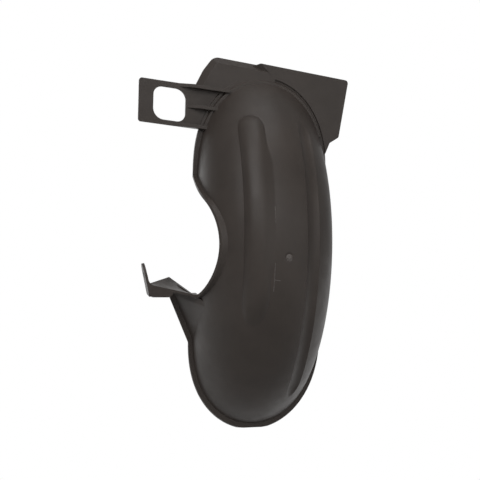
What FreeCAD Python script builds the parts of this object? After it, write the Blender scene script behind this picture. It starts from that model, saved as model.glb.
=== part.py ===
import FreeCAD, Part
import math
import os
import Sketcher

doc = FreeCAD.newDocument("mudguard")
sheet = doc.addObject("Spreadsheet::Sheet", "sheet")

# Lengths in millimetres, angles in degrees.  The part is drawn as it is fitted: x to the
# right, y towards the axle, z up, from the foremost point of the crown.
sizes = [
    ("wall", 2.5),
    ("beyond", 300),
    # trough that follows the tyre
    ("crown_radius", 220),
    ("dome_radius", 68),
    ("foot_depth", 98),
    ("foot_spare", 8),
    ("core_spare", 40),
    ("sweep_angle", 128),
    ("rim_width", 4.5),
    ("rim_low", -186),
    # lip along the arch, in front of the plate
    ("arch_width", 2.2),
    ("arch_rise", 1.6),
    ("arch_low", 127),
    # raised bead left of the crown line
    ("bead_turn", -20.5),
    ("bead_radius", 15),
    ("bead_height", 4.8),
    ("bead_top", 35.5),
    ("bead_bottom", -8),
    ("bead_ramp", 20),
    ("bead_fade", 60),
    # sunk groove on the right shoulder
    ("groove_turn", 27.3),
    ("groove_radius", 14),
    ("groove_sink", 3.2),
    ("groove_top", 35),
    ("groove_bottom", -38),
    ("groove_ramp", 40),
    ("ramp_angle", 45),
    # round opening in the left wall
    ("notch_radius", 51),
    ("notch_depth", 75.5),
    ("notch_level", 9.5),
    ("notch_flare", 62),
    ("notch_outer", 73.5),
    ("notch_inner", 30),
    # flat plate at the upper right
    ("plate_step", 1.5),
    ("plate_left", -4),
    ("plate_left_top", 200.3),
    ("plate_slant", 10),
    ("plate_slant_foot", 186),
    ("plate_right", 94.4),
    ("plate_right_top", 189.5),
    ("plate_lower_right", 85.5),
    ("plate_lower", 128),
    ("plate_neck", 75.5),
    ("plate_neck_top", 121.5),
    ("plate_neck_bottom", 102),
    ("plate_inner", 68),
    ("plate_corner", 3.5),
    # shoulder with a bevelled edge at the upper left
    ("lobe_left", -74.4),
    ("lobe_foot", 168),
    ("lobe_waist", -63),
    ("lobe_waist_top", 191.5),
    ("lobe_peak", -53),
    ("lobe_peak_top", 205.3),
    ("lobe_right", 12),
    ("lobe_right_top", 197.8),
    ("lobe_low", 160),
    ("lobe_deep", 14),
    ("lobe_bevel", 7),
    ("lobe_corner", 10),
    ("lobe_turn", 2.5),
    ("lobe_step", 0.47),
    # arm with the window, upper left
    ("arm_x", -130),
    ("arm_z", 155.3),
    ("arm_fall", 4.4),
    ("arm_length", 92),
    ("arm_width", 44),
    ("arm_corner", 3),
    ("arm_recess", 1.5),
    ("window_x", 31.7),
    ("window_z", -0.5),
    ("window_size", 33.2),
    ("window_corner", 12),
    ("window_tight", 8),
    ("rib_thick", 3.5),
    ("rib_start", 40),
    ("rib_rise", 14),
    ("rib_height", 7),
    ("mid_rib_start", 50),
    # flared wall and bracket, lower left
    ("flare_depth", 36),
    ("flare_front", -54.5),
    ("flare_front_top", -51),
    ("flare_front_low", -36),
    ("flare_left", -90),
    ("flare_top", -30),
    ("flare_inner_top", -67),
    ("flare_foot", -65.5),
    ("flare_low", -99),
    ("flare_crease", -43),
    ("flare_front_crease", -52.5),
    ("flare_wall", 3),
    ("shelf_front", 60),
    ("shelf_root", 60),
    ("shelf_left", -120.5),
    ("shelf_left_level", -28.5),
    ("shelf_back_left", -94),
    ("shelf_back_level", -25),
    ("shelf_drop", 7),
    ("face_right", -95),
    ("face_low", -41.5),
    ("face_corner", 5),
    ("face_rise", -19.5),
    ("face_web_round", 8),
    ("tab_x", -121.5),
    ("tab_y", 73.5),
    ("tab_z", -20.5),
    ("tab_lean", 13),
    ("tab_width", 23),
    ("tab_below", 21),
    ("tab_hole", 6.5),
    # moulding point on the crown
    ("gate_x", 4.4),
    ("gate_z", 4),
    ("gate_round", 10),
    ("gate_sink", 1.3),
]
for row, (alias, number) in enumerate(sizes, 1):
    sheet.set("A%d" % row, alias)
    sheet.set("B%d" % row, str(number))
    sheet.setAlias("B%d" % row, alias)
doc.recompute()
# Two places or directions this close count as the same.
near = 0.01


def value(expression):
    return float(sheet.evalExpression(expression))


def plane_of(body, role):
    for feature in body.Origin.OriginFeatures:
        if feature.Role == role:
            return feature


def new_body(name):
    return doc.addObject("PartDesign::Body", name)


def sketch_on(body, name, role, offset=None):
    sketch = body.newObject("Sketcher::SketchObject", name)
    sketch.AttachmentSupport = [(plane_of(body, role), "")]
    sketch.MapMode = "FlatFace"
    if offset:
        sketch.setExpression("AttachmentOffset.Base.z", offset)
    return sketch


def hold(sketch, kind, expression, *place):
    index = sketch.addConstraint(Sketcher.Constraint(kind, *place, value(expression)))
    sketch.setExpression("Constraints[%d]" % index, expression)


def pin(sketch, geometry, point, across, up):
    hold(sketch, "DistanceX", across, geometry, point)
    hold(sketch, "DistanceY", up, geometry, point)


def join(sketch, first, first_end, second, second_end):
    sketch.addConstraint(Sketcher.Constraint("Coincident", first, first_end, second, second_end))


def vector(across, up):
    return FreeCAD.Vector(value(across), value(up), 0)


def arc_of(centre, radius, first, last):
    circle = Part.Circle(centre, FreeCAD.Vector(0, 0, 1), radius)
    return Part.ArcOfCircle(circle, math.radians(first), math.radians(last))


def chain(sketch, corners):
    points = [vector(*corner) for corner in corners]
    first = sketch.GeometryCount
    for start, end in zip(points, points[1:]):
        sketch.addGeometry(Part.LineSegment(start, end))
    for i in range(first, sketch.GeometryCount - 1):
        join(sketch, i, 2, i + 1, 1)
    for i, corner in enumerate(corners[:-1]):
        pin(sketch, first + i, 1, *corner)
    return first


def polygon(sketch, corners):
    first = chain(sketch, corners + corners[:1])
    join(sketch, sketch.GeometryCount - 1, 2, first, 1)


def pad(body, sketch, length, reverse=False):
    feature = body.newObject("PartDesign::Pad", sketch.Name + "_pad")
    feature.Profile = sketch
    feature.Reversed = reverse
    feature.setExpression("Length", length)
    return feature


def pad_from(body, name, role, offset, corners, length, reverse=False):
    sketch = sketch_on(body, name, role, offset)
    polygon(sketch, corners)
    return pad(body, sketch, length, reverse)


def edges_of(feature, test):
    doc.recompute()
    edges = feature.Shape.Edges
    return ["Edge%d" % (i + 1) for i, edge in enumerate(edges) if test(edge)]


def round_edges(body, feature, name, radius, test):
    fillet = body.newObject("PartDesign::Fillet", name)
    fillet.Base = (feature, edges_of(feature, test))
    fillet.setExpression("Radius", radius)
    return fillet


def bevel_edges(body, feature, name, size, test):
    bevel = body.newObject("PartDesign::Chamfer", name)
    bevel.Base = (feature, edges_of(feature, test))
    bevel.setExpression("Size", size)
    return bevel


def along_depth(edge):
    ends = [vertex.Point for vertex in edge.Vertexes]
    if len(ends) != 2:
        return False
    return abs((ends[1] - ends[0]).normalize().y) > 1 - near


def fuse(name, shapes):
    joined = doc.addObject("Part::MultiFuse", name)
    joined.Shapes = shapes
    return joined


def common(name, shapes):
    shared = doc.addObject("Part::MultiCommon", name)
    shared.Shapes = shapes
    return shared


def cut(name, base, tool):
    left = doc.addObject("Part::Cut", name)
    left.Base = base
    left.Tool = tool
    return left


def slab(name, front, depth, low="-sheet.beyond"):
    box = doc.addObject("Part::Box", name)
    box.setExpression("Length", "2 * sheet.beyond")
    box.setExpression("Height", "2 * sheet.beyond")
    box.setExpression("Width", depth)
    box.setExpression("Placement.Base.x", "-sheet.beyond")
    box.setExpression("Placement.Base.y", front)
    box.setExpression("Placement.Base.z", low)
    return box


# A form of the trough: half round over the tyre, straight down its sides, turned about the axle.
def dome_form(name, radius, depth):
    body = new_body(name)
    sketch = sketch_on(body, name + "_profile", "XY_Plane")
    left = "-(%s)" % radius
    middle = "sheet.dome_radius"
    sketch.addGeometry(arc_of(vector("0", middle), value(radius), 180, 270))
    sketch.addGeometry(arc_of(vector("0", middle), value(radius), 270, 360))
    first = chain(sketch, [(radius, middle), (radius, depth), (left, depth), (left, middle)])
    join(sketch, 0, 2, 1, 1)
    join(sketch, 1, 2, first, 1)
    join(sketch, first + 2, 2, 0, 1)
    join(sketch, 0, 3, 1, 3)
    sketch.addConstraint(Sketcher.Constraint("PointOnObject", 0, 3, -2))
    sketch.addConstraint(Sketcher.Constraint("PointOnObject", 0, 2, -2))
    hold(sketch, "DistanceY", middle, 0, 3)
    axle = chain(sketch, [(left, "sheet.crown_radius"), (radius, "sheet.crown_radius")])
    sketch.toggleConstruction(axle)
    turn = body.newObject("PartDesign::Revolution", name + "_turn")
    turn.Profile = sketch
    turn.ReferenceAxis = (sketch, ["Axis0"])
    turn.Midplane = True
    turn.setExpression("Angle", "sheet.sweep_angle")
    return body


# A round bar bent round the axle.  Both ends of it turn away with the ramp radius, inwards for
# a bar that stands out of the trough and outwards for one that is sunk into it.
def bent_bar(name, turn, reach, radius, top, bottom, ramp, fade, inwards):
    body = new_body(name)
    tube_centre = "(sheet.crown_radius - sheet.dome_radius)"
    sketch = sketch_on(body, name + "_path", "YZ_Plane", "%s * sin(%s * 1 deg)" % (reach, turn))
    big = "(%s + %s * cos(%s * 1 deg))" % (tube_centre, reach, turn)
    side = -1 if inwards else 1
    bend = "(%s + %d * %s)" % (big, side, ramp)
    slow_bend = "(%s + %d * %s)" % (big, side, fade)

    def spot(length, angle):
        across = "sheet.crown_radius - %s * cos(%s * 1 deg)" % (length, angle)
        return across, "%s * sin(%s * 1 deg)" % (length, angle)

    axle = vector("sheet.crown_radius", "0")
    upper = vector(*spot(bend, top))
    lower = vector(*spot(slow_bend, bottom))
    high = value(top)
    low = value(bottom)
    lean = value("sheet.ramp_angle")
    if inwards:
        sketch.addGeometry(arc_of(upper, value(ramp), 180 - high - lean, 180 - high))
        sketch.addGeometry(arc_of(axle, value(big), 180 - high, 180 - low))
        sketch.addGeometry(arc_of(lower, value(fade), 180 - low, 180 - low + lean))
        ends = [(0, 1), (0, 2), (1, 1), (1, 2), (2, 1), (2, 2)]
    else:
        sketch.addGeometry(arc_of(upper, value(ramp), -high, -high + lean))
        sketch.addGeometry(arc_of(axle, value(big), 180 - high, 180 - low))
        sketch.addGeometry(arc_of(lower, value(fade), -low - lean, -low))
        ends = [(0, 2), (0, 1), (1, 1), (1, 2), (2, 2), (2, 1)]
    join(sketch, *ends[1], *ends[2])
    join(sketch, *ends[3], *ends[4])
    pin(sketch, 0, 3, *spot(bend, top))
    pin(sketch, 2, 3, *spot(slow_bend, bottom))
    pin(sketch, 1, 1, *spot(big, top))
    pin(sketch, 1, 2, *spot(big, bottom))
    hold(sketch, "DistanceX", "sheet.crown_radius", 1, 3)
    doc.recompute()
    ring = body.newObject("Sketcher::SketchObject", name + "_ring")
    ring.AttachmentSupport = [(sketch, "Edge1")]
    ring.MapMode = "NormalToEdge"
    ring.addGeometry(Part.Circle(FreeCAD.Vector(0, 0, 0), FreeCAD.Vector(0, 0, 1), value(radius)))
    join(ring, 0, 3, -1, 1)
    hold(ring, "Radius", radius, 0)
    pipe = body.newObject("PartDesign::AdditivePipe", name + "_pipe")
    pipe.Profile = ring
    pipe.Spine = (sketch, ["Edge1", "Edge2", "Edge3"])
    return body


# The opening in the left wall: round in front, a straight flare above, flat below.
def notch_form(name, grow):
    body = new_body(name)
    sketch = sketch_on(body, name + "_profile", "YZ_Plane", "-sheet.notch_outer")
    radius = "(sheet.notch_radius + %s)" % grow
    centre = vector("sheet.notch_depth", "sheet.notch_level")
    flare = "sheet.notch_flare * 1 deg"
    touch = (
        "sheet.notch_depth - %s * cos(%s)" % (radius, flare),
        "sheet.notch_level + %s * sin(%s)" % (radius, flare),
    )
    back = "sheet.foot_depth + sheet.core_spare"
    low = "sheet.notch_level - " + radius
    high = "%s + (%s - (%s)) / tan(%s)" % (touch[1], back, touch[0], flare)
    sketch.addGeometry(arc_of(centre, value(radius), 180 - value("sheet.notch_flare"), 270))
    corners = [("sheet.notch_depth", low), (back, low), (back, high), touch]
    first = chain(sketch, corners)
    join(sketch, 0, 2, first, 1)
    join(sketch, first + 2, 2, 0, 1)
    pin(sketch, 0, 3, "sheet.notch_depth", "sheet.notch_level")
    pad(body, sketch, "sheet.notch_outer - sheet.notch_inner")
    return body


bead_reach = "(sheet.dome_radius + sheet.bead_height - sheet.bead_radius)"
groove_reach = "(sheet.dome_radius - sheet.groove_sink + sheet.groove_radius)"
bead_ends = ["sheet.bead_top", "sheet.bead_bottom", "sheet.bead_ramp", "sheet.bead_fade", True]
groove_ends = [
    "sheet.groove_top",
    "sheet.groove_bottom",
    "sheet.groove_ramp",
    "sheet.groove_ramp",
    False,
]


def bead_bar(name, radius):
    return bent_bar(name, "sheet.bead_turn", bead_reach, radius, *bead_ends)


def groove_bar(name, radius):
    return bent_bar(name, "sheet.groove_turn", groove_reach, radius, *groove_ends)


bead = bead_bar("bead", "sheet.bead_radius")
bead_core = bead_bar("bead_core", "sheet.bead_radius - sheet.wall")
groove = groove_bar("groove", "sheet.groove_radius")
groove_core = groove_bar("groove_core", "sheet.groove_radius + sheet.wall")

foot = "sheet.foot_depth"
foot_face = "(sheet.foot_depth - sheet.wall)"
plate_face = foot_face + " - sheet.plate_step"
spare_foot = "sheet.foot_depth + sheet.foot_spare"
deep_foot = "sheet.foot_depth + sheet.core_spare"
dome = dome_form("dome", "sheet.dome_radius", spare_foot)
rim_form = dome_form("rim_form", "sheet.dome_radius + sheet.rim_width", spare_foot)
arch_form = dome_form("arch_form", "sheet.dome_radius + sheet.arch_width", spare_foot)
core_form = dome_form("core_form", "sheet.dome_radius - sheet.wall", deep_foot)
notch = notch_form("notch", "0")
notch_lip = notch_form("notch_lip", "sheet.wall")
front_room = slab("front_room", "-sheet.beyond", "sheet.beyond + " + foot)
foot_room = slab("foot_room", foot_face, "sheet.wall", "sheet.rim_low")
arch_front = plate_face + " - sheet.arch_rise"
arch_room = slab("arch_room", arch_front, "%s - (%s)" % (foot, arch_front), "sheet.arch_low")

# Flat plate at the upper right, one step in front of the rim that it joins.
plate_sheet = new_body("plate_sheet")
plate_pad = pad_from(
    plate_sheet,
    "plate_outline",
    "XZ_Plane",
    "-" + foot,
    [
        ("sheet.plate_left", "sheet.plate_left_top"),
        ("sheet.plate_right", "sheet.plate_right_top"),
        ("sheet.plate_lower_right", "sheet.plate_lower"),
        ("sheet.plate_neck", "sheet.plate_neck_top"),
        ("sheet.plate_inner", "sheet.plate_neck_bottom"),
        ("sheet.plate_slant", "sheet.plate_neck_bottom"),
        ("sheet.plate_slant", "sheet.plate_slant_foot"),
    ],
    "sheet.wall + sheet.plate_step",
)
neck = value("sheet.plate_neck")
round_edges(
    plate_sheet,
    plate_pad,
    "plate_corners",
    "sheet.plate_corner",
    lambda edge: along_depth(edge) and edge.CenterOfMass.x > neck + near,
)


# Shoulder at the upper left: a face with a bevelled edge that turns back towards the frame.
def lobe_form(name, inset, face, deep, corner, bevel):
    body = new_body(name)
    left = "sheet.lobe_left + " + inset
    outline = [
        (left, "sheet.lobe_foot"),
        ("sheet.lobe_waist + " + inset, "sheet.lobe_waist_top"),
        ("sheet.lobe_peak + " + inset, "sheet.lobe_peak_top - " + inset),
        ("sheet.lobe_right", "sheet.lobe_right_top - " + inset),
        ("sheet.lobe_right", "sheet.lobe_low"),
    ]
    block = pad_from(body, name + "_outline", "XZ_Plane", "-" + face, outline, deep, True)
    low = value("sheet.lobe_foot") + near
    right = value("sheet.lobe_right") - near
    front = value(face)

    def free_edge(edge):
        return edge.CenterOfMass.z > low and edge.CenterOfMass.x < right

    def front_edge(edge):
        return free_edge(edge) and abs(edge.BoundBox.YMax - front) < near

    def corner_edge(edge):
        return free_edge(edge) and along_depth(edge)

    soft = round_edges(body, block, name + "_corners", corner, corner_edge)
    body.Placement.Rotation = FreeCAD.Rotation(FreeCAD.Vector(0, 0, 1), -value("sheet.lobe_turn"))
    body.setExpression("Placement.Rotation.Angle", "-sheet.lobe_turn")
    body.setExpression("Placement.Base.y", plate_face + " + sheet.lobe_step")
    bevel_edges(body, soft, name + "_bevel", bevel, front_edge)
    return body


lobe = lobe_form("lobe", "0", "0", "sheet.lobe_deep", "sheet.lobe_corner", "sheet.lobe_bevel")
lobe_core = lobe_form(
    "lobe_core",
    "sheet.wall",
    "sheet.wall",
    "sheet.lobe_deep",
    "sheet.lobe_corner - sheet.wall",
    "sheet.lobe_bevel - sheet.wall * (2 - sqrt(2))",
)

# Arm with a window and three ribs that run out onto the trough.
arm = new_body("arm")
arm.Placement.Rotation = FreeCAD.Rotation(FreeCAD.Vector(0, 1, 0), value("sheet.arm_fall"))
arm.setExpression("Placement.Base.x", "sheet.arm_x")
arm.setExpression("Placement.Base.y", foot_face + " + sheet.arm_recess")
arm.setExpression("Placement.Base.z", "sheet.arm_z")
arm.setExpression("Placement.Rotation.Angle", "sheet.arm_fall")
half = "sheet.arm_width / 2"
skew = "tan(sheet.arm_fall * 1 deg)"
arm_web = pad_from(
    arm,
    "arm_outline",
    "XZ_Plane",
    None,
    [
        ("-%s * %s" % (half, skew), half),
        ("sheet.arm_length", half),
        ("sheet.arm_length", "-" + half),
        ("%s * %s" % (half, skew), "-" + half),
    ],
    "sheet.wall",
    True,
)
arm_end = value("sheet.arm_width / 4")
round_edges(
    arm,
    arm_web,
    "arm_corners",
    "sheet.arm_corner",
    lambda edge: along_depth(edge) and edge.CenterOfMass.x < arm_end,
)


def rib(name, start, level):
    top = "-sheet.rib_height"
    end = "sheet.arm_length"
    corners = [
        (start, "0"),
        (start + " + sheet.rib_rise", top),
        (end, top),
        (end, "sheet.wall"),
        (start, "sheet.wall"),
    ]
    return pad_from(arm, name, "XY_Plane", level, corners, "sheet.rib_thick")


rib("top_rib", "sheet.rib_start", half + " - sheet.rib_thick")
rib("middle_rib", "sheet.mid_rib_start", "-sheet.rib_thick / 2")
rib("low_rib", "sheet.rib_start", "-" + half)
pane = sketch_on(arm, "window_outline", "XZ_Plane")
side = "sheet.window_size / 2"
slide = "%s * %s" % (side, skew)
polygon(
    pane,
    [
        ("sheet.window_x - %s - %s" % (side, slide), "sheet.window_z + " + side),
        ("sheet.window_x + %s - %s" % (side, slide), "sheet.window_z + " + side),
        ("sheet.window_x + %s + %s" % (side, slide), "sheet.window_z - " + side),
        ("sheet.window_x - %s + %s" % (side, slide), "sheet.window_z - " + side),
    ],
)
doc.recompute()
web_volume = arm.Shape.Volume
window = arm.newObject("PartDesign::Pocket", "window")
window.Profile = pane
window.Type = "ThroughAll"
doc.recompute()
if arm.Shape.Volume > web_volume - near:
    window.Reversed = True


def window_corner(edge):
    across = edge.CenterOfMass.x - value("sheet.window_x")
    up = edge.CenterOfMass.z - value("sheet.window_z")
    if not along_depth(edge) or max(abs(across), abs(up)) > value(side + " + sheet.wall"):
        return 0
    return across * up


wide = round_edges(
    arm,
    window,
    "window_corners",
    "sheet.window_corner",
    lambda edge: window_corner(edge) > 0,
)
round_edges(
    arm,
    wide,
    "window_tight_corners",
    "sheet.window_tight",
    lambda edge: window_corner(edge) < 0,
)


# Lower left: the wall flares out to its own foot line and carries a shelf.
def flare_form(name, inset, back):
    body = new_body(name)
    floor = "sheet.flare_low"
    inner = "-sheet.notch_inner"
    near = sketch_on(body, name + "_front", "XZ_Plane", "-sheet.flare_depth")
    polygon(
        near,
        [
            ("sheet.flare_front + " + inset, "sheet.flare_front_top - " + inset),
            ("sheet.flare_front + " + inset, "sheet.flare_front_crease - " + inset),
            ("sheet.flare_front_low + " + inset, floor),
            (inner, floor),
            (inner, "sheet.flare_front_top - " + inset),
        ],
    )
    far = sketch_on(body, name + "_back", "XZ_Plane", "-" + back)
    polygon(
        far,
        [
            ("sheet.flare_left + " + inset, "sheet.flare_top - " + inset),
            ("sheet.flare_left + " + inset, "sheet.flare_crease - " + inset),
            ("sheet.flare_foot + " + inset, floor),
            (inner, floor),
            (inner, "sheet.flare_inner_top - " + inset),
        ],
    )
    loft = body.newObject("PartDesign::AdditiveLoft", name + "_loft")
    loft.Profile = near
    loft.Sections = [far]
    loft.Ruled = True
    return body


flare = flare_form("flare", "0", foot)
flare_core = flare_form("flare_core", "sheet.flare_wall", foot)
flare_rim = new_body("flare_rim")
rim_left = "sheet.flare_left - sheet.rim_width"
rim_low = "sheet.flare_foot - sheet.rim_width"
pad_from(
    flare_rim,
    "flare_rim_outline",
    "XZ_Plane",
    "-" + foot,
    [
        (rim_left, "sheet.flare_crease"),
        (rim_low, "sheet.flare_low"),
        ("-sheet.notch_inner", "sheet.flare_low"),
        ("-sheet.notch_inner", "sheet.flare_crease"),
    ],
    "sheet.wall",
)

# Shelf, front face and fixing tab of the bracket.
shelf = new_body("shelf")
shelf_near = sketch_on(shelf, "shelf_front_edge", "XZ_Plane", "-sheet.shelf_front")
root = "-sheet.shelf_root"
floor = "(sheet.notch_level - sheet.notch_radius)"
near_left = "sheet.shelf_left_level"
polygon(
    shelf_near,
    [
        (root, floor),
        (root, floor + " - sheet.wall"),
        ("sheet.shelf_left", near_left + " - sheet.wall"),
        ("sheet.shelf_left", near_left),
    ],
)
shelf_far = sketch_on(shelf, "shelf_back_edge", "XZ_Plane", "-" + foot)
sunk = "(%s - sheet.shelf_drop)" % floor
polygon(
    shelf_far,
    [
        (root, sunk),
        (root, sunk + " - sheet.wall"),
        ("sheet.shelf_back_left", "sheet.shelf_back_level - sheet.wall"),
        ("sheet.shelf_back_left", "sheet.shelf_back_level"),
    ],
)
shelf_loft = shelf.newObject("PartDesign::AdditiveLoft", "shelf_loft")
shelf_loft.Profile = shelf_near
shelf_loft.Sections = [shelf_far]
shelf_loft.Ruled = True
face_sheet = new_body("face_sheet")


# The face ends flush with both sides of the tab that leans out above it.
def tab_line(level, way):
    lean = "sheet.tab_lean * 1 deg"
    skin_side = "%s sheet.wall / 2 / cos(%s)" % (way, lean)
    return "sheet.tab_x %s - (%s - sheet.tab_z) * tan(%s)" % (skin_side, level, lean)


def shelf_line(across):
    slope = "(%s - %s) / (%s - sheet.shelf_left)" % (floor, near_left, root)
    return "%s + %s * (%s - sheet.shelf_left)" % (near_left, slope, across)


web_level = "(%s)" % shelf_line(tab_line(near_left, "+"))
web_line = tab_line(web_level, "+")
face_pad = pad_from(
    face_sheet,
    "face_outline",
    "XZ_Plane",
    "-(sheet.shelf_front + sheet.wall)",
    [
        (tab_line("sheet.face_rise", "-"), "sheet.face_rise"),
        (tab_line("sheet.face_low", "-"), "sheet.face_low"),
        ("sheet.face_right", "sheet.face_low"),
        ("sheet.face_right", shelf_line("sheet.face_right")),
        (web_line, web_level),
        (tab_line("sheet.face_rise", "+"), "sheet.face_rise"),
    ],
    "sheet.wall",
)
face_floor = value("sheet.face_low") + value("sheet.wall")
face_soft = round_edges(
    face_sheet,
    face_pad,
    "face_corners",
    "sheet.face_corner",
    lambda edge: along_depth(edge) and edge.CenterOfMass.z < face_floor,
)
web_foot = value(web_line)
round_edges(
    face_sheet,
    face_soft,
    "face_web",
    "sheet.face_web_round",
    lambda edge: along_depth(edge) and abs(edge.CenterOfMass.x - web_foot) < near,
)
tab = new_body("tab")
tab.Placement.Rotation = FreeCAD.Rotation(FreeCAD.Vector(0, 1, 0), -value("sheet.tab_lean"))
tab.setExpression("Placement.Base.x", "sheet.tab_x")
tab.setExpression("Placement.Base.y", "sheet.tab_y")
tab.setExpression("Placement.Base.z", "sheet.tab_z")
tab.setExpression("Placement.Rotation.Angle", "-sheet.tab_lean")
outline = sketch_on(tab, "tab_outline", "YZ_Plane", "-sheet.wall / 2")
tab_side = "sheet.tab_width / 2"
outline.addGeometry(arc_of(FreeCAD.Vector(), value(tab_side), 0, 180))
first = chain(
    outline,
    [
        ("-" + tab_side, "0"),
        ("-" + tab_side, "-sheet.tab_below"),
        (tab_side, "-sheet.tab_below"),
        (tab_side, "0"),
    ],
)
join(outline, 0, 2, first, 1)
join(outline, first + 2, 2, 0, 1)
join(outline, 0, 3, -1, 1)
hole_radius = "sheet.tab_hole / 2"
ring = Part.Circle(FreeCAD.Vector(), FreeCAD.Vector(0, 0, 1), value(hole_radius))
hole = outline.addGeometry(ring)
join(outline, hole, 3, -1, 1)
hold(outline, "Radius", hole_radius, hole)
pad(tab, outline, "sheet.wall")

# Moulding point: a shallow round dish.
gate = doc.addObject("Part::Sphere", "gate")
gate.setExpression("Radius", "sheet.gate_round")
gate.setExpression("Placement.Base.x", "sheet.gate_x")
gate.setExpression("Placement.Base.y", "sheet.gate_sink - sheet.gate_round")
gate.setExpression("Placement.Base.z", "sheet.gate_z")

# The walls stand between the outer forms and the core.
rim_front = common("rim_front", [rim_form, front_room])
skin = cut("skin", fuse("skin_blank", [dome, bead, flare]), groove)
skin_front = common("skin_front", [skin, front_room])
rim = common("rim", [rim_form, foot_room])
arch = common("arch", [arch_form, arch_room])
lip = common("lip", [rim_front, notch_lip])
plate = cut("plate", plate_sheet, rim_form)
shoulder = cut("shoulder", lobe, lobe_core)
core = cut("core", fuse("core_blank", [core_form, bead_core, flare_core]), groove_core)
blank = fuse("blank", [skin_front, rim, arch, lip, plate, shoulder, arm, flare_rim])
room = fuse("room", [core, notch, gate])
shell = cut("shell", blank, room)
bracket = cut("bracket", fuse("bracket_blank", [shelf, face_sheet, tab]), core)
mudguard = fuse("mudguard", [shell, bracket])
mudguard.Refine = True
mudguard.Label = "mudguard"
mudguard.setExpression("Placement.Base.x", "-sheet.tab_x")
mudguard.setExpression("Placement.Base.y", "-sheet.tab_y")
mudguard.setExpression("Placement.Base.z", "-sheet.tab_z")
doc.recompute()

for item in doc.Objects:
    if "Invalid" in item.State or "Error" in item.State:
        raise RuntimeError("%s did not build" % item.Name)
    if hasattr(item, "Shape") and (item.Shape.isNull() or not item.Shape.isValid()):
        raise RuntimeError("%s has no good shape" % item.Name)
if len(mudguard.Shape.Solids) != 1:
    raise RuntimeError("the mudguard is one solid")
os.makedirs("parts", exist_ok=True)
mudguard.Shape.exportStep("parts/mudguard.step")
box = mudguard.Shape.BoundBox
print("mudguard", round(mudguard.Shape.Volume), len(mudguard.Shape.Faces), box)
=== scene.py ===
import bmesh
import bpy
import math
from mathutils import Matrix, Vector, noise


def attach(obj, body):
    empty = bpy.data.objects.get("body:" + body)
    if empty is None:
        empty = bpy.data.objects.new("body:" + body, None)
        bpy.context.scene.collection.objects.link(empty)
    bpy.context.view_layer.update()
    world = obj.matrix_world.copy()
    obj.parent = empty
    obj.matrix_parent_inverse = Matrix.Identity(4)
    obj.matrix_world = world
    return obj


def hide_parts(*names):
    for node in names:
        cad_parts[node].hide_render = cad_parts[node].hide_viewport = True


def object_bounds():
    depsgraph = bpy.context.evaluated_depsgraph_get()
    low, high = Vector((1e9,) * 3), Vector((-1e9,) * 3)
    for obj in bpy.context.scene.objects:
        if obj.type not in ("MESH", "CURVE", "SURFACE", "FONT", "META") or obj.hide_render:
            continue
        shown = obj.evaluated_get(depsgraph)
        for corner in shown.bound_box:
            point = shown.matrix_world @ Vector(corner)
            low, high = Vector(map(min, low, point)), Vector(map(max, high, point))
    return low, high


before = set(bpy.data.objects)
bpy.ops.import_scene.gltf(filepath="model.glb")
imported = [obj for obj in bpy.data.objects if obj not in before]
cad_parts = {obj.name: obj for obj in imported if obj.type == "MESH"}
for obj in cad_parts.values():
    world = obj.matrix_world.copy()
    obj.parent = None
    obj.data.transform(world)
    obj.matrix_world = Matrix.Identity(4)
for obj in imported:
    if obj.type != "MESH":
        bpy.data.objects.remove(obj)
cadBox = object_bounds()
scene = bpy.context.scene
scene.view_settings.view_transform = "Standard"
print("frame loaded:", ", ".join(sorted(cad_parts)))


def linkMesh(name, mesh, material):
    piece = bpy.data.objects.new(name, mesh)
    scene.collection.objects.link(piece)
    mesh.materials.clear()
    mesh.materials.append(material)
    return piece


def newMaterial(name):
    material = bpy.data.materials.new(name)
    material.use_nodes = True
    nodes = material.node_tree.nodes
    nodes.clear()
    return material, nodes, material.node_tree.links


# the camera stands in front of the guard, a little to its left
cameraView = {
    "distance": 0.7,
    "target": (0.0922, -0.0147, 0.0369),
    "yaw": 0.2417,
    "pitch": 0.0415,
    "roll": 0.0311,
    "lens": 52.5,
}


def makeCamera(v):
    yaw, pitch, roll = v["yaw"], v["pitch"], v["roll"]
    forward = Vector((math.sin(yaw), math.cos(yaw), 0)) * math.cos(pitch)
    forward.z = -math.sin(pitch)
    level = Vector((math.cos(yaw), -math.sin(yaw), 0))
    upright = level.cross(forward)
    right = level * math.cos(roll) + upright * math.sin(roll)
    up = upright * math.cos(roll) - level * math.sin(roll)
    data = bpy.data.cameras.new("photoCamera")
    data.lens = v["lens"]
    camera = bpy.data.objects.new("photoCamera", data)
    turn = Matrix((right, up, -forward)).transposed()
    place = Vector(v["target"]) - forward * v["distance"]
    camera.matrix_world = Matrix.Translation(place) @ turn.to_4x4()
    scene.collection.objects.link(camera)
    scene.camera = camera


makeCamera(cameraView)
print("camera set")

# one dark moulded resin, satin from a fine spark grain in the mould
resinLook = {
    "gloss": 0.22,
    "surface": {
        "Dark": (0.032, 0.0258, 0.0222, 1),
        "Pale": (0.041, 0.0331, 0.0285, 1),
        "Mottle Scale": 26.0,
        "Satin Low": 0.39,
        "Satin High": 0.48,
        "Satin Scale": 75.0,
        "Ripple Scale": 34.0,
        "Ripple Depth": 0.00035,
        "Grain Scale": 1500.0,
        "Grain Depth": 0.00006,
        "Edge Round": 0.0006,
    },
}

# broken resin is paler and duller; the same paler colour also paints a highlight on the gate
# dish's lit lower part and along the lit foot of the bead's run-out
tornAndHighlightLook = {
    "gloss": 0.22,
    "surface": {
        **resinLook["surface"],
        "Dark": (0.058, 0.050, 0.046, 1),
        "Pale": (0.110, 0.098, 0.092, 1),
        "Mottle Scale": 900.0,
        "Satin Low": 0.6,
        "Satin High": 0.8,
        "Grain Depth": 0.00012,
    },
}


# how fine each cloud is, the middle band of a cloud that is used, and the rays that soften an edge
surfaceDetail = {
    "Mottle Scale": 5,
    "Satin Scale": 4,
    "Ripple Scale": 1,
    "Grain Scale": 2,
    "band": (0.3, 0.7),
    "edgeRays": 6,
}


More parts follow.
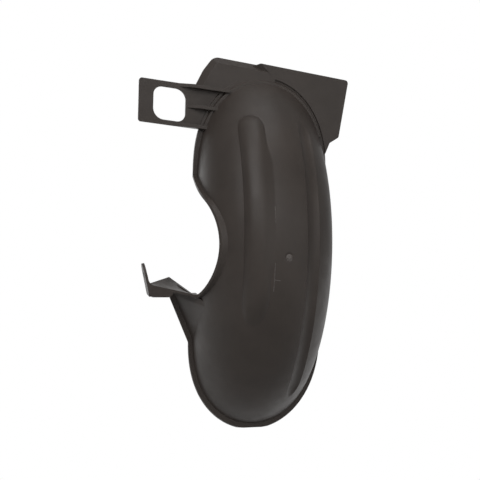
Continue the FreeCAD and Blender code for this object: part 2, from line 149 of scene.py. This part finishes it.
# mottle, satin, ripple and grain of a moulded surface, with its edges softened
def surfaceGroup(inputs, v):
    tree = bpy.data.node_groups.new("mouldedSurface", "ShaderNodeTree")
    for name, value in inputs.items():
        kind = "NodeSocketColor" if isinstance(value, tuple) else "NodeSocketFloat"
        tree.interface.new_socket(name, in_out="INPUT", socket_type=kind)
    for name, kind in (("Colour", "Color"), ("Roughness", "Float"), ("Normal", "Vector")):
        tree.interface.new_socket(name, in_out="OUTPUT", socket_type="NodeSocket" + kind)
    nodes, links = tree.nodes, tree.links
    given = nodes.new("NodeGroupInput").outputs
    result = nodes.new("NodeGroupOutput").inputs
    place = nodes.new("ShaderNodeTexCoord").outputs["Object"]

    def cloud(scale):
        node = nodes.new("ShaderNodeTexNoise")
        node.inputs["Detail"].default_value = v[scale]
        links.new(place, node.inputs["Vector"])
        links.new(given[scale], node.inputs["Scale"])
        return node.outputs["Fac"]

    def spread(value):
        node = nodes.new("ShaderNodeMapRange")
        node.inputs["From Min"].default_value = v["band"][0]
        node.inputs["From Max"].default_value = v["band"][1]
        links.new(value, node.inputs["Value"])
        return node

    def bump(height, depth, below):
        node = nodes.new("ShaderNodeBump")
        links.new(height, node.inputs["Height"])
        links.new(given[depth], node.inputs["Distance"])
        links.new(below, node.inputs["Normal"])
        return node.outputs["Normal"]

    tint = nodes.new("ShaderNodeMix")
    tint.data_type = "RGBA"
    colours = {socket.name: socket for socket in tint.inputs if socket.type == "RGBA"}
    links.new(spread(cloud("Mottle Scale")).outputs["Result"], tint.inputs["Factor"])
    links.new(given["Dark"], colours["A"])
    links.new(given["Pale"], colours["B"])
    links.new([socket for socket in tint.outputs if socket.type == "RGBA"][0], result["Colour"])
    satin = spread(cloud("Satin Scale"))
    links.new(given["Satin Low"], satin.inputs["To Min"])
    links.new(given["Satin High"], satin.inputs["To Max"])
    links.new(satin.outputs["Result"], result["Roughness"])
    soft = nodes.new("ShaderNodeBevel")  # moulded edges are never knife sharp
    soft.samples = v["edgeRays"]
    links.new(given["Edge Round"], soft.inputs["Radius"])
    ripple = bump(cloud("Ripple Scale"), "Ripple Depth", soft.outputs["Normal"])
    links.new(bump(cloud("Grain Scale"), "Grain Depth", ripple), result["Normal"])
    return tree


def makeResin(name, v, tree):
    material, nodes, links = newMaterial(name)
    surface = nodes.new("ShaderNodeGroup")
    surface.node_tree = tree
    for socket, value in v["surface"].items():
        surface.inputs[socket].default_value = value
    shader = nodes.new("ShaderNodeBsdfPrincipled")
    shader.inputs["Specular IOR Level"].default_value = v["gloss"]
    links.new(surface.outputs["Colour"], shader.inputs["Base Color"])
    links.new(surface.outputs["Roughness"], shader.inputs["Roughness"])
    links.new(surface.outputs["Normal"], shader.inputs["Normal"])
    output = nodes.new("ShaderNodeOutputMaterial")
    links.new(shader.outputs["BSDF"], output.inputs["Surface"])
    return material


mouldedSurface = surfaceGroup(resinLook["surface"], surfaceDetail)
satinResin = makeResin("satinResin", resinLook, mouldedSurface)
# the torn resin's paler colour is also a painted highlight on the gate dish and along the bead's
# foot
tornAndHighlightResin = makeResin("tornAndHighlightResin", tornAndHighlightLook, mouldedSurface)
print("materials made")

shellFinish = {
    "weld": 0.00001,
    "crease": 30,
}

# the bead runs out flat to the right of its crest; lengths in metres, angles in degrees
beadRunOut = {
    "axle": (0.1215, 0.1465, 0.0205),
    "tubeCentre": 0.152,
    "turn": -20.5,
    "reach": 0.0578,
    "slope": 31,
    "steep": 58,
    "top": 35.5,
    "topFade": 11,
    "bottom": -8,
    "bottomFade": 8,
    "flank": (-44, -31, -25.5, -19),
    "flankTurn": -2.2,
    "flankAlong": (-32, 50),
    "flankFade": 8,
    "near": 0.0003,
    "walls": ((0.068, 0.015), (0.0655, 0.0125)),
    "across": (0.003, 0.030),
    "mesh": 0.0018,
    "passes": 6,
}


def easeIn(share):
    share = min(1, max(0, share))
    return share * share * (3 - 2 * share)


# where a point lies along the trough, to the right of the bead's middle and above it
def beadPlace(v, point):
    axle, turn = Vector(v["axle"]), math.radians(v["turn"])
    off = point - axle
    along = math.degrees(math.atan2(off.z, -off.y))
    side = off.x - v["reach"] * math.sin(turn)
    out = math.hypot(off.y, off.z) - v["tubeCentre"] - v["reach"] * math.cos(turn)
    right = side * math.cos(turn) - out * math.sin(turn)
    height = side * math.sin(turn) + out * math.cos(turn)
    return along, right, height


def beadPoint(v, along, right, height):
    turn, angle = math.radians(v["turn"]), math.radians(along)
    side = right * math.cos(turn) + (height + v["reach"]) * math.sin(turn)
    far = v["tubeCentre"] - right * math.sin(turn) + (height + v["reach"]) * math.cos(turn)
    return Vector(v["axle"]) + Vector((side, -far * math.cos(angle), far * math.sin(angle)))


# height of the trough's and the bead's wall, first as moulded in CAD and then with the run-out
def beadHeights(v, wall, along, right):
    dome, ring = wall
    plain = math.sqrt(dome ** 2 - right ** 2) - v["reach"]
    if abs(right) < ring:
        plain = max(plain, math.sqrt(ring ** 2 - right ** 2))
    full = easeIn((v["top"] - along) / v["topFade"])
    full *= easeIn((along - v["bottom"]) / v["bottomFade"])
    slope = math.radians(v["steep"] + (v["slope"] - v["steep"]) * full)
    run = ring * math.cos(slope) - (right - ring * math.sin(slope)) * math.tan(slope)
    return plain, max(plain, run) if right > ring * math.sin(slope) else plain


def runOutBead(work, v):
    def wallOf(vert):
        along, right, height = beadPlace(v, vert.co)
        if not (v["bottom"] < along < v["top"] and v["across"][0] < right < v["across"][1]):
            return None
        for wall in v["walls"]:
            if abs(height - beadHeights(v, wall, along, right)[0]) < v["near"]:
                return wall
        return None

    for passes in range(v["passes"]):
        inside = {vert for vert in work.verts if wallOf(vert)}
        coarse = [edge for edge in work.edges if edge.calc_length() > v["mesh"]]
        cuts = [edge for edge in coarse if inside.intersection(edge.verts)]
        if not cuts:
            break
        bmesh.ops.subdivide_edges(work, edges=cuts, cuts=1)
        split = [face for face in work.faces if len(face.verts) > 3]
        bmesh.ops.triangulate(work, faces=split)
    moved = 0
    for vert in work.verts:
        wall = wallOf(vert)
        if wall:
            along, right, height = beadPlace(v, vert.co)
            vert.co = beadPoint(v, along, right, beadHeights(v, wall, along, right)[1])
            vert.co.y = max(vert.co.y, cadBox[0].y)
            moved += 1
    print("bead run out:", moved, "points")


# the bead's left flank stands a little further out than its ring
def turnFlank(work, v):
    axle = Vector(v["axle"])
    left, foot, brow, crest = v["flank"]
    bottom, top = v["flankAlong"]
    for vert in work.verts:
        off = vert.co - axle
        out = math.hypot(off.y, off.z)
        along = math.degrees(math.atan2(off.z, -off.y))
        turn = math.degrees(math.atan2(off.x, out - v["tubeCentre"]))
        if not (left < turn < crest and bottom < along < top):
            continue
        share = easeIn((turn - left) / (foot - left)) * easeIn((crest - turn) / (crest - brow))
        share *= easeIn((top - along) / v["flankFade"]) * easeIn((along - bottom) / v["flankFade"])
        size = math.hypot(off.x, out - v["tubeCentre"])
        turn = math.radians(turn + v["flankTurn"] * share)
        far = v["tubeCentre"] + size * math.cos(turn)
        vert.co = axle + Vector((size * math.sin(turn), off.y * far / out, off.z * far / out))


# the plate's upper corner slopes down to the shoulder's edge, where the solid has an upright step
cornerSlope = {
    "foot": (0.12204, 0.0245, 0.21617),
    "moved": (0.1100, 0.0259, 0.21845),
    "near": 0.0005,
}


def slopeCorner(work, v):
    corners = [vert for vert in work.verts if (vert.co - Vector(v["foot"])).length < v["near"]]
    for vert in corners:
        vert.co = Vector(v["moved"])
    print("corner sloped:", len(corners), "points")


def makeShell(v):
    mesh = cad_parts["mudguard"].data.copy()
    mesh.name = "mudguardShell"
    work = bmesh.new()
    work.from_mesh(mesh)
    bmesh.ops.remove_doubles(work, verts=work.verts, dist=v["weld"])
    slopeCorner(work, cornerSlope)
    runOutBead(work, beadRunOut)
    turnFlank(work, beadRunOut)
    work.to_mesh(mesh)
    work.free()
    mesh.attributes.remove(mesh.attributes["custom_normal"])  # the weld makes them stale
    piece = linkMesh("mudguardShell", mesh, satinResin)
    mesh.shade_smooth()
    mesh.set_sharp_from_angle(angle=math.radians(v["crease"]))
    return piece


shell = makeShell(shellFinish)
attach(shell, "root")
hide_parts("mudguard")
print("shell made:", len(shell.data.polygons), "faces")

# torn stub where the sprue broke away, in the dish on the crown; its paler torn resin paints a
# highlight where light catches the dish's lower part
gateStub = {
    "place": (0.1259, -0.0722, 0.0235),
    "radius": 0.0037,
    "fine": 4,
    "flat": 0.36,
    "rough": 0.0006,
    "tear": 420.0,
}


def makeStub(v):
    mesh = bpy.data.meshes.new("gateStub")
    work = bmesh.new()
    bmesh.ops.create_icosphere(work, subdivisions=v["fine"], radius=v["radius"])
    for vert in work.verts:
        tear = noise.noise(vert.co * v["tear"])
        vert.co += vert.co.normalized() * tear * v["rough"]
        vert.co.y *= v["flat"]
        vert.co += Vector(v["place"])
    work.to_mesh(mesh)
    work.free()
    mesh.shade_smooth()
    return linkMesh("gateStub", mesh, tornAndHighlightResin)


stub = makeStub(gateStub)
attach(stub, "root")
print("gate stub made:", len(stub.data.polygons), "faces")

# faint witness marks of a mould insert, along the foot of the bead's run-out, in the paler torn
# resin that paints a highlight where light catches that foot:
# each goes from one place to the next, in degrees along the trough and metres right of the crest
witnessMarks = {
    "lines": (
        ((13.4, 0.0147), (9.2, 0.0149)),
        ((-0.4, 0.0150), (-7.6, 0.0148)),
        ((-4.6, 0.0150), (-4.8, 0.0205)),
    ),
    "radius": 0.0004,
    "proud": 0.00018,
    "step": 0.002,
    "pieces": 8,
    "sides": 10,
}


def marksTree(v):
    tree = bpy.data.node_groups.new("witnessMarks", "GeometryNodeTree")
    sockets = {}
    tree.interface.new_socket("Path", in_out="INPUT", socket_type="NodeSocketGeometry")
    for name, kind in (("Line Radius", "Float"), ("Step", "Float"), ("Resin", "Material")):
        socket = tree.interface.new_socket(name, in_out="INPUT", socket_type="NodeSocket" + kind)
        sockets[name] = socket.identifier
    tree.interface.new_socket("Marks", in_out="OUTPUT", socket_type="NodeSocketGeometry")
    nodes, links = tree.nodes, tree.links
    source, result = nodes.new("NodeGroupInput"), nodes.new("NodeGroupOutput")
    path = nodes.new("GeometryNodeMeshToCurve")
    even = nodes.new("GeometryNodeResampleCurve")
    even.mode = "LENGTH"
    ring = nodes.new("GeometryNodeCurvePrimitiveCircle")
    ring.inputs["Resolution"].default_value = v["sides"]
    sweep = nodes.new("GeometryNodeCurveToMesh")
    sweep.inputs["Fill Caps"].default_value = True
    whole = nodes.new("GeometryNodeRealizeInstances")
    paint = nodes.new("GeometryNodeSetMaterial")
    links.new(source.outputs["Path"], path.inputs["Mesh"])
    links.new(path.outputs["Curve"], even.inputs["Curve"])
    links.new(source.outputs["Step"], even.inputs["Length"])
    links.new(source.outputs["Line Radius"], ring.inputs["Radius"])
    links.new(even.outputs["Curve"], sweep.inputs["Curve"])
    links.new(ring.outputs["Curve"], sweep.inputs["Profile Curve"])
    links.new(sweep.outputs["Mesh"], whole.inputs["Geometry"])
    links.new(whole.outputs["Geometry"], paint.inputs["Geometry"])
    links.new(source.outputs["Resin"], paint.inputs["Material"])
    links.new(paint.outputs["Geometry"], result.inputs["Marks"])
    return tree, sockets


def makeMarks(v, bead):
    points, edges = [], []
    for first, last in v["lines"]:
        for share in range(v["pieces"] + 1):
            along = first[0] + (last[0] - first[0]) * share / v["pieces"]
            right = first[1] + (last[1] - first[1]) * share / v["pieces"]
            height = beadHeights(bead, bead["walls"][0], along, right)[1]
            if share:
                edges.append((len(points) - 1, len(points)))
            points.append(beadPoint(bead, along, right, height - v["radius"] + v["proud"]))
    mesh = bpy.data.meshes.new("marksPath")
    mesh.from_pydata(points, edges, [])
    path = linkMesh("marksPath", mesh, tornAndHighlightResin)
    tree, sockets = marksTree(v)
    sweep = path.modifiers.new("marks", "NODES")
    sweep.node_group = tree
    sweep[sockets["Line Radius"]] = v["radius"]
    sweep[sockets["Step"]] = v["step"]
    sweep[sockets["Resin"]] = tornAndHighlightResin
    graph = bpy.context.evaluated_depsgraph_get()
    swept = bpy.data.meshes.new_from_object(path.evaluated_get(graph))
    bpy.data.objects.remove(path)
    swept.name = "witnessMarks"
    swept.shade_smooth()
    return linkMesh("witnessMarks", swept, tornAndHighlightResin)


marks = makeMarks(witnessMarks, beadRunOut)
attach(marks, "root")
print("witness marks made:", len(marks.data.polygons), "faces")

stageSet = {
    "drop": 0.2,
    "reach": 4.0,
    "colour": (0.55, 0.55, 0.55),
    "white": (0.2, 1.0),
    "fade": (0.35, 0.65),
    "front": 0.4,
}


# what the camera, gloss and glass see of the studio is plain white
def seenWhite(nodes, links):
    path = nodes.new("ShaderNodeLightPath")
    seen = path.outputs["Is Camera Ray"]
    for kind in ("Is Glossy Ray", "Is Transmission Ray"):
        either = nodes.new("ShaderNodeMath")
        either.operation = "MAXIMUM"
        links.new(seen, either.inputs[0])
        links.new(path.outputs[kind], either.inputs[1])
        seen = either.outputs["Value"]
    return seen


# the paper keeps the shadow under the guard and turns plain white further out
def makeFloor(v):
    low = cadBox[0].z - v["drop"]
    middle = (cadBox[0] + cadBox[1]) / 2
    reach = v["reach"]
    mesh = bpy.data.meshes.new("floor")
    around = ((-reach, -reach), (reach, -reach), (reach, reach), (-reach, reach))
    mesh.from_pydata([(x, y, low) for x, y in around], [], [(0, 1, 2, 3)])
    material, nodes, links = newMaterial("palePaper")
    place = nodes.new("ShaderNodeTexCoord")
    away = nodes.new("ShaderNodeVectorMath")
    away.operation = "DISTANCE"
    away.inputs[1].default_value = (middle.x, middle.y - v["front"], low)
    fade = nodes.new("ShaderNodeMapRange")
    fade.interpolation_type = "SMOOTHSTEP"
    fade.inputs["From Min"].default_value = v["fade"][0]
    fade.inputs["From Max"].default_value = v["fade"][1]
    fade.inputs["To Min"].default_value = v["white"][0]
    fade.inputs["To Max"].default_value = v["white"][1]
    share = nodes.new("ShaderNodeMath")
    share.operation = "MULTIPLY"
    paper = nodes.new("ShaderNodeBsdfDiffuse")
    paper.inputs["Color"].default_value = (*v["colour"], 1)
    glow = nodes.new("ShaderNodeEmission")
    mix = nodes.new("ShaderNodeMixShader")
    output = nodes.new("ShaderNodeOutputMaterial")
    links.new(place.outputs["Object"], away.inputs[0])
    links.new(away.outputs["Value"], fade.inputs["Value"])
    links.new(fade.outputs["Result"], share.inputs[0])
    links.new(seenWhite(nodes, links), share.inputs[1])
    links.new(share.outputs["Value"], mix.inputs["Fac"])
    links.new(paper.outputs["BSDF"], mix.inputs[1])
    links.new(glow.outputs["Emission"], mix.inputs[2])
    links.new(mix.outputs["Shader"], output.inputs["Surface"])
    linkMesh("floor", mesh, material)


makeFloor(stageSet)

# azimuth 0 is in front, minus is to the left as the photograph shows it
lightSet = {
    "sky": 0.15,
    "paperWhite": 1.0,
    "roomGrey": 0.4,
    "paperEdge": (0.76, 0.96),
    "lamps": {
        "key": {"azimuth": -42, "elevation": 38, "distance": 2.0, "size": 1.2, "power": 20},
        "top": {"azimuth": 0, "elevation": 80, "distance": 1.5, "size": 0.9, "power": 6},
        "frontFill": {"azimuth": 0, "elevation": 26, "distance": 1.5, "size": 0.9, "power": 5.5},
        "rim": {"azimuth": -155, "elevation": 8, "distance": 1.5, "size": 0.8, "power": 3},
        "rightFill": {"azimuth": 38, "elevation": 12, "distance": 0.8, "size": 0.5, "power": 0.9},
    },
}


# the camera sees white all round; what gloss sees turns pale grey to the sides of the paper
def makeWorld(v):
    world = bpy.data.worlds.new("studio")
    scene.world = world
    world.use_nodes = True
    nodes, links = world.node_tree.nodes, world.node_tree.links
    nodes.clear()
    room = nodes.new("ShaderNodeBackground")
    room.inputs["Color"].default_value = (1, 1, 1, 1)
    room.inputs["Strength"].default_value = v["sky"]
    place = nodes.new("ShaderNodeTexCoord")
    facing = nodes.new("ShaderNodeVectorMath")
    facing.operation = "DOT_PRODUCT"
    facing.inputs[1].default_value = scene.camera.matrix_world.to_3x3() @ Vector((0, 0, -1))
    paper = nodes.new("ShaderNodeMapRange")
    paper.interpolation_type = "SMOOTHSTEP"
    paper.inputs["From Min"].default_value = v["paperEdge"][0]
    paper.inputs["From Max"].default_value = v["paperEdge"][1]
    paper.inputs["To Min"].default_value = v["roomGrey"]
    paper.inputs["To Max"].default_value = v["paperWhite"]
    white = nodes.new("ShaderNodeBackground")
    white.inputs["Color"].default_value = (1, 1, 1, 1)
    links.new(place.outputs["Generated"], facing.inputs[0])
    links.new(facing.outputs["Value"], paper.inputs["Value"])
    path = nodes.new("ShaderNodeLightPath")
    seen = nodes.new("ShaderNodeMath")
    seen.operation = "MAXIMUM"
    links.new(paper.outputs["Result"], seen.inputs[0])
    links.new(path.outputs["Is Camera Ray"], seen.inputs[1])
    links.new(seen.outputs["Value"], white.inputs["Strength"])
    mix = nodes.new("ShaderNodeMixShader")
    output = nodes.new("ShaderNodeOutputWorld")
    links.new(seenWhite(nodes, links), mix.inputs["Fac"])
    links.new(room.outputs["Background"], mix.inputs[1])
    links.new(white.outputs["Background"], mix.inputs[2])
    links.new(mix.outputs["Shader"], output.inputs["Surface"])


def makeLamp(name, v, target):
    turn, rise = math.radians(v["azimuth"]), math.radians(v["elevation"])
    way = Vector((math.sin(turn), -math.cos(turn), 0)) * math.cos(rise)
    way.z = math.sin(rise)
    data = bpy.data.lights.new(name, "AREA")
    data.size = v["size"]
    data.energy = v["power"]
    lamp = bpy.data.objects.new(name, data)
    lamp.location = Vector(target) + way * v["distance"]
    lamp.rotation_euler = way.to_track_quat("Z", "Y").to_euler()
    scene.collection.objects.link(lamp)


makeWorld(lightSet)
for lampName, lampValues in lightSet["lamps"].items():
    makeLamp(lampName, lampValues, cameraView["target"])
print("stage lit:", len(lightSet["lamps"]), "lamps")
